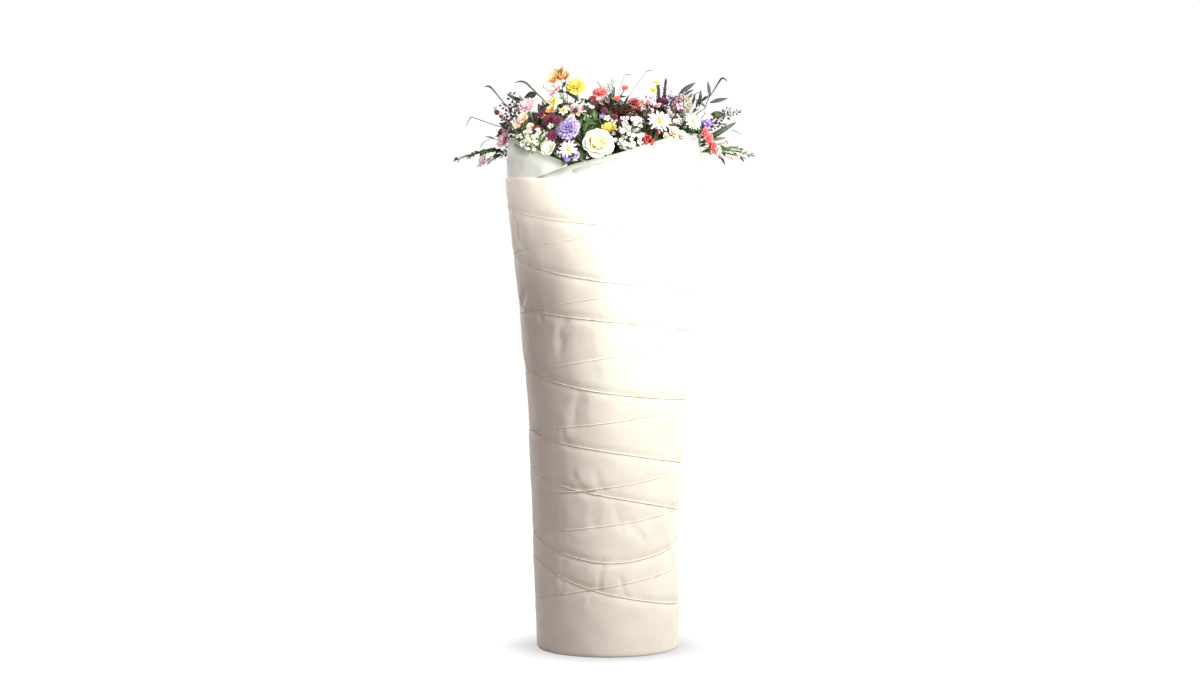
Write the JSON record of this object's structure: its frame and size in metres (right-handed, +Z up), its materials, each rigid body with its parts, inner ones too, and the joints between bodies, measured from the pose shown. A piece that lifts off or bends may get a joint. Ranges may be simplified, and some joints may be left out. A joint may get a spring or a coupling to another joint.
{
  "type": "mixed flower bouquet",
  "caption": "Tall mixed flower bouquet on a spiral of cut stems, rolled in white tissue and cream paper and wound with twine, standing on the flat folded base of its wrapping.",
  "frame": {"origin": "middle of the wrapping paper's flat folded base, on the ground", "axes": "+Z up along the bouquet, -Y to the front where the tissue flaps lap over each other, +X to the right as seen from the front"},
  "size_m": [0.5951, 0.4016, 1.1652],
  "materials": {
    "leaf_dark": "dark olive leaf, half glossy",
    "leaf_green": "green leaf, slightly waxy",
    "leaf_grey": "grey-green bloomed leaf",
    "leaf_red": "red-brown leaf, half glossy",
    "paper": "matte cream wrapping paper, creased",
    "petal_blush": "blush petal, waxy",
    "petal_coral": "coral petal, soft matte",
    "petal_cream": "cream petal, soft matte",
    "petal_crimson": "crimson petal and berry skin",
    "petal_green": "green petal, soft matte",
    "petal_lilac": "lilac petal, soft matte",
    "petal_orange": "orange petal, soft matte",
    "petal_peach": "peach petal, soft matte",
    "petal_pink": "pink petal, soft matte",
    "petal_plum": "plum petal, velvety",
    "petal_violet": "violet papery petal",
    "petal_white": "white petal, soft matte",
    "petal_yellow": "yellow petal and pollen, matte",
    "raffia": "dry raffia band",
    "stem": "green living stem, smooth and slightly waxy",
    "tissue": "white tissue paper, thin and translucent",
    "twine": "twisted natural jute fibre, hairy"
  },
  "bodies": {
    "root": {"alstroemeria_orange": "petal_orange", "aster_front_disc": "petal_yellow", "aster_front_rays": "petal_white", "aster_front_stem": "stem", "back_carnation": "petal_pink", "back_chrysanthemum": "petal_yellow", "back_daisy_disc": "petal_yellow", "back_daisy_rays": "petal_white", "back_daisy_stem": "stem", "back_eucalyptus": "leaf_grey", "back_gypsophila": "petal_white", "back_plum_spray": "petal_plum", "back_rose_peach_petals": "petal_peach", "back_rose_peach_stem": "stem", "back_scabiosa": "petal_lilac", "back_waxflower": "petal_blush", "berries_red": "petal_crimson", "carnation_pink_petals": "petal_pink", "carnation_pink_stem": "stem", "chrysanthemum_yellow_petals": "petal_yellow", "chrysanthemum_yellow_stem": "stem", "coral_spray": "petal_coral", "crimson_rim": "petal_crimson", "daisy_large_disc": "petal_yellow", "daisy_large_rays": "petal_white", "daisy_large_stem": "stem", "daisy_right_disc": "petal_yellow", "daisy_right_rays": "petal_white", "daisy_right_stem": "stem", "dark_blades_left": "leaf_dark", "dianthus_plum": "petal_plum", "eucalyptus_right": "leaf_grey", "gladiolus_coral": "petal_coral", "gypsophila_left": "petal_white", "hydrangea_mauve": "petal_green", "limonium_top": "petal_violet", "lisianthus_green": "petal_green", "long_leaves_right": "leaf_green", "narcissus_yellow": "petal_yellow", "peach_rose_left": "petal_peach", "peach_rose_right": "petal_peach", "pink_bud_left": "petal_pink", "plum_spray_left": "petal_plum", "plum_spray_right": "petal_plum", "red_foliage": "leaf_red", "rose_cream_petals": "petal_cream", "rose_cream_stem": "stem", "rose_small_yellow": "petal_cream", "scabiosa_lilac_petals": "petal_lilac", "scabiosa_lilac_stem": "stem", "statice_violet": "petal_violet", "stem_tie": "raffia", "sweet_pea_mauve": "petal_pink", "tissue_inner": "tissue", "trailing_left": "leaf_grey", "trailing_right": "leaf_grey", "twine_winding": "twine", "veronica_magenta": "petal_plum", "waxflower_right": "petal_blush", "wrapper_outer": "paper"}
  },
  "joints": []
}
